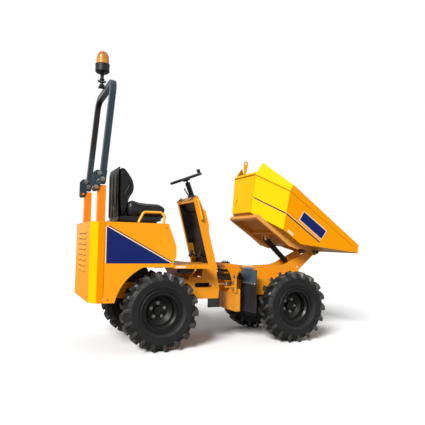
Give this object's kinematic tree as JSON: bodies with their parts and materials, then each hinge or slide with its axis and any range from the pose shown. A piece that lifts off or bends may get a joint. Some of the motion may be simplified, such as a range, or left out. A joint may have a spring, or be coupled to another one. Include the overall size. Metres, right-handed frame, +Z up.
{
  "type": "articulated site dumper",
  "caption": "Articulated four-wheel site dumper with a front-tipping skip on a cylinder, a central steering pivot, an open driving seat and a folding roll-over hoop.",
  "frame": {"origin": "on the ground under the middle of the machine's length and width", "axes": "+X forward, +Y to the operator's left, +Z up"},
  "size_m": [2.7252, 1, 2.687],
  "materials": {
    "body_yellow": "gloss",
    "frame_yellow": "gloss",
    "skip_yellow": "satin",
    "hoop_grey": "satin",
    "black_paint": "satin",
    "black_plastic": "matt",
    "amber_lens": "clear",
    "seat_vinyl": "satin",
    "flap_rubber": "matt",
    "bare_steel": "worn",
    "axle_black": "painted",
    "engine_grey": "painted",
    "rod_chrome": "polished",
    "tyre_rubber": "matt",
    "rim_black": "satin"
  },
  "bodies": {
    "chassis_rear": {"rear_frame": "frame_yellow", "pivot_pin": "bare_steel", "step_block": "flap_rubber", "rear_axle": "axle_black", "rear_cover": "body_yellow", "side_panel_right": "body_yellow", "side_panel_left": "body_yellow", "seat_deck": "body_yellow", "floor_plate": "frame_yellow", "engine_block": "engine_grey", "seat_base": "black_paint", "seat_cushion": "seat_vinyl", "seat_backrest": "seat_vinyl", "grab_handle_right": "frame_yellow", "grab_handle_left": "frame_yellow", "rops_posts": "frame_yellow", "console": "frame_yellow", "console_handle_right": "frame_yellow", "console_handle_left": "frame_yellow", "steering_column": "black_paint", "control_lever": "black_paint"},
    "hoop": {"rops_frame": "hoop_grey", "beacon_bracket": "black_paint", "beacon_base": "black_plastic", "beacon_lens": "amber_lens"},
    "handwheel": {"steering_wheel": "black_plastic"},
    "chassis_front": {"front_frame": "frame_yellow", "front_axle": "axle_black", "pivot_tube": "bare_steel", "mud_flap_right": "flap_rubber", "mud_flap_left": "flap_rubber"},
    "skip_body": {"skip": "skip_yellow", "skip_cradle": "skip_yellow", "lifting_eye": "skip_yellow"},
    "tip_barrel": {"tip_ram_barrel": "black_paint"},
    "tip_rod": {"tip_ram_rod": "rod_chrome"},
    "steer_barrel": {"steer_ram_barrel": "black_paint"},
    "steer_rod": {"steer_ram_rod": "rod_chrome"},
    "wheel_rear_right": {"tyre_rear_right": "tyre_rubber", "rim_rear_right": "rim_black"},
    "wheel_rear_left": {"tyre_rear_left": "tyre_rubber", "rim_rear_left": "rim_black"},
    "wheel_front_right": {"tyre_front_right": "tyre_rubber", "rim_front_right": "rim_black"},
    "wheel_front_left": {"tyre_front_left": "tyre_rubber", "rim_front_left": "rim_black"}
  },
  "joints": [
    {"name": "articulation", "type": "hinge", "parent": "chassis_rear", "child": "chassis_front", "pos_m": [-0.10562, 0, 0.524], "axis": [0, 0, 1], "range_deg": [-32, 32]},
    {"name": "skip_tip", "type": "hinge", "parent": "chassis_front", "child": "skip_body", "pos_m": [1.02938, 0, 0.86], "axis": [0, 1, 0], "range_deg": [-33, 29]},
    {"name": "hoop_fold", "type": "hinge", "parent": "chassis_rear", "child": "hoop", "pos_m": [-1.31762, 0, 1.38], "axis": [0, -1, 0], "range_deg": [0, 105]},
    {"name": "handwheel_turn", "type": "hinge", "parent": "chassis_rear", "child": "handwheel", "pos_m": [-0.38262, 0, 1.56], "axis": [-0.3686, 0, 0.9296], "continuous": true},
    {"name": "tip_ram_pivot", "type": "hinge", "parent": "skip_body", "child": "tip_barrel", "pos_m": [0.51838, 0, 0.99], "axis": [0, 1, 0], "range_deg": [-6, 6]},
    {"name": "tip_ram_slide", "type": "slide", "parent": "tip_barrel", "child": "tip_rod", "axis": [0.7341, 0, -0.679], "range_m": [-0.15, 0.13]},
    {"name": "steer_ram_pivot", "type": "hinge", "parent": "chassis_rear", "child": "steer_barrel", "pos_m": [-0.52562, -0.19, 0.54], "axis": [0, 0, 1], "range_deg": [-8, 8]},
    {"name": "steer_ram_slide", "type": "slide", "parent": "steer_barrel", "child": "steer_rod", "axis": [0.9972, 0.075, 0], "range_m": [-0.09, 0.09]},
    {"name": "wheel_spin_rear_right", "type": "hinge", "parent": "chassis_rear", "child": "wheel_rear_right", "pos_m": [-0.74562, -0.41, 0.338], "axis": [0, 1, 0], "continuous": true},
    {"name": "wheel_spin_rear_left", "type": "hinge", "parent": "chassis_rear", "child": "wheel_rear_left", "pos_m": [-0.74562, 0.41, 0.338], "axis": [0, 1, 0], "continuous": true},
    {"name": "wheel_spin_front_right", "type": "hinge", "parent": "chassis_front", "child": "wheel_front_right", "pos_m": [0.59438, -0.41, 0.338], "axis": [0, 1, 0], "continuous": true},
    {"name": "wheel_spin_front_left", "type": "hinge", "parent": "chassis_front", "child": "wheel_front_left", "pos_m": [0.59438, 0.41, 0.338], "axis": [0, 1, 0], "continuous": true}
  ],
  "couplings": [
    {"joint": "tip_ram_pivot", "follows": "skip_tip", "ratio": -0.13},
    {"joint": "tip_ram_slide", "follows": "skip_tip", "m_per_rad": 0.245},
    {"joint": "steer_ram_pivot", "follows": "articulation", "ratio": 0.174},
    {"joint": "steer_ram_slide", "follows": "articulation", "m_per_rad": 0.1535}
  ]
}
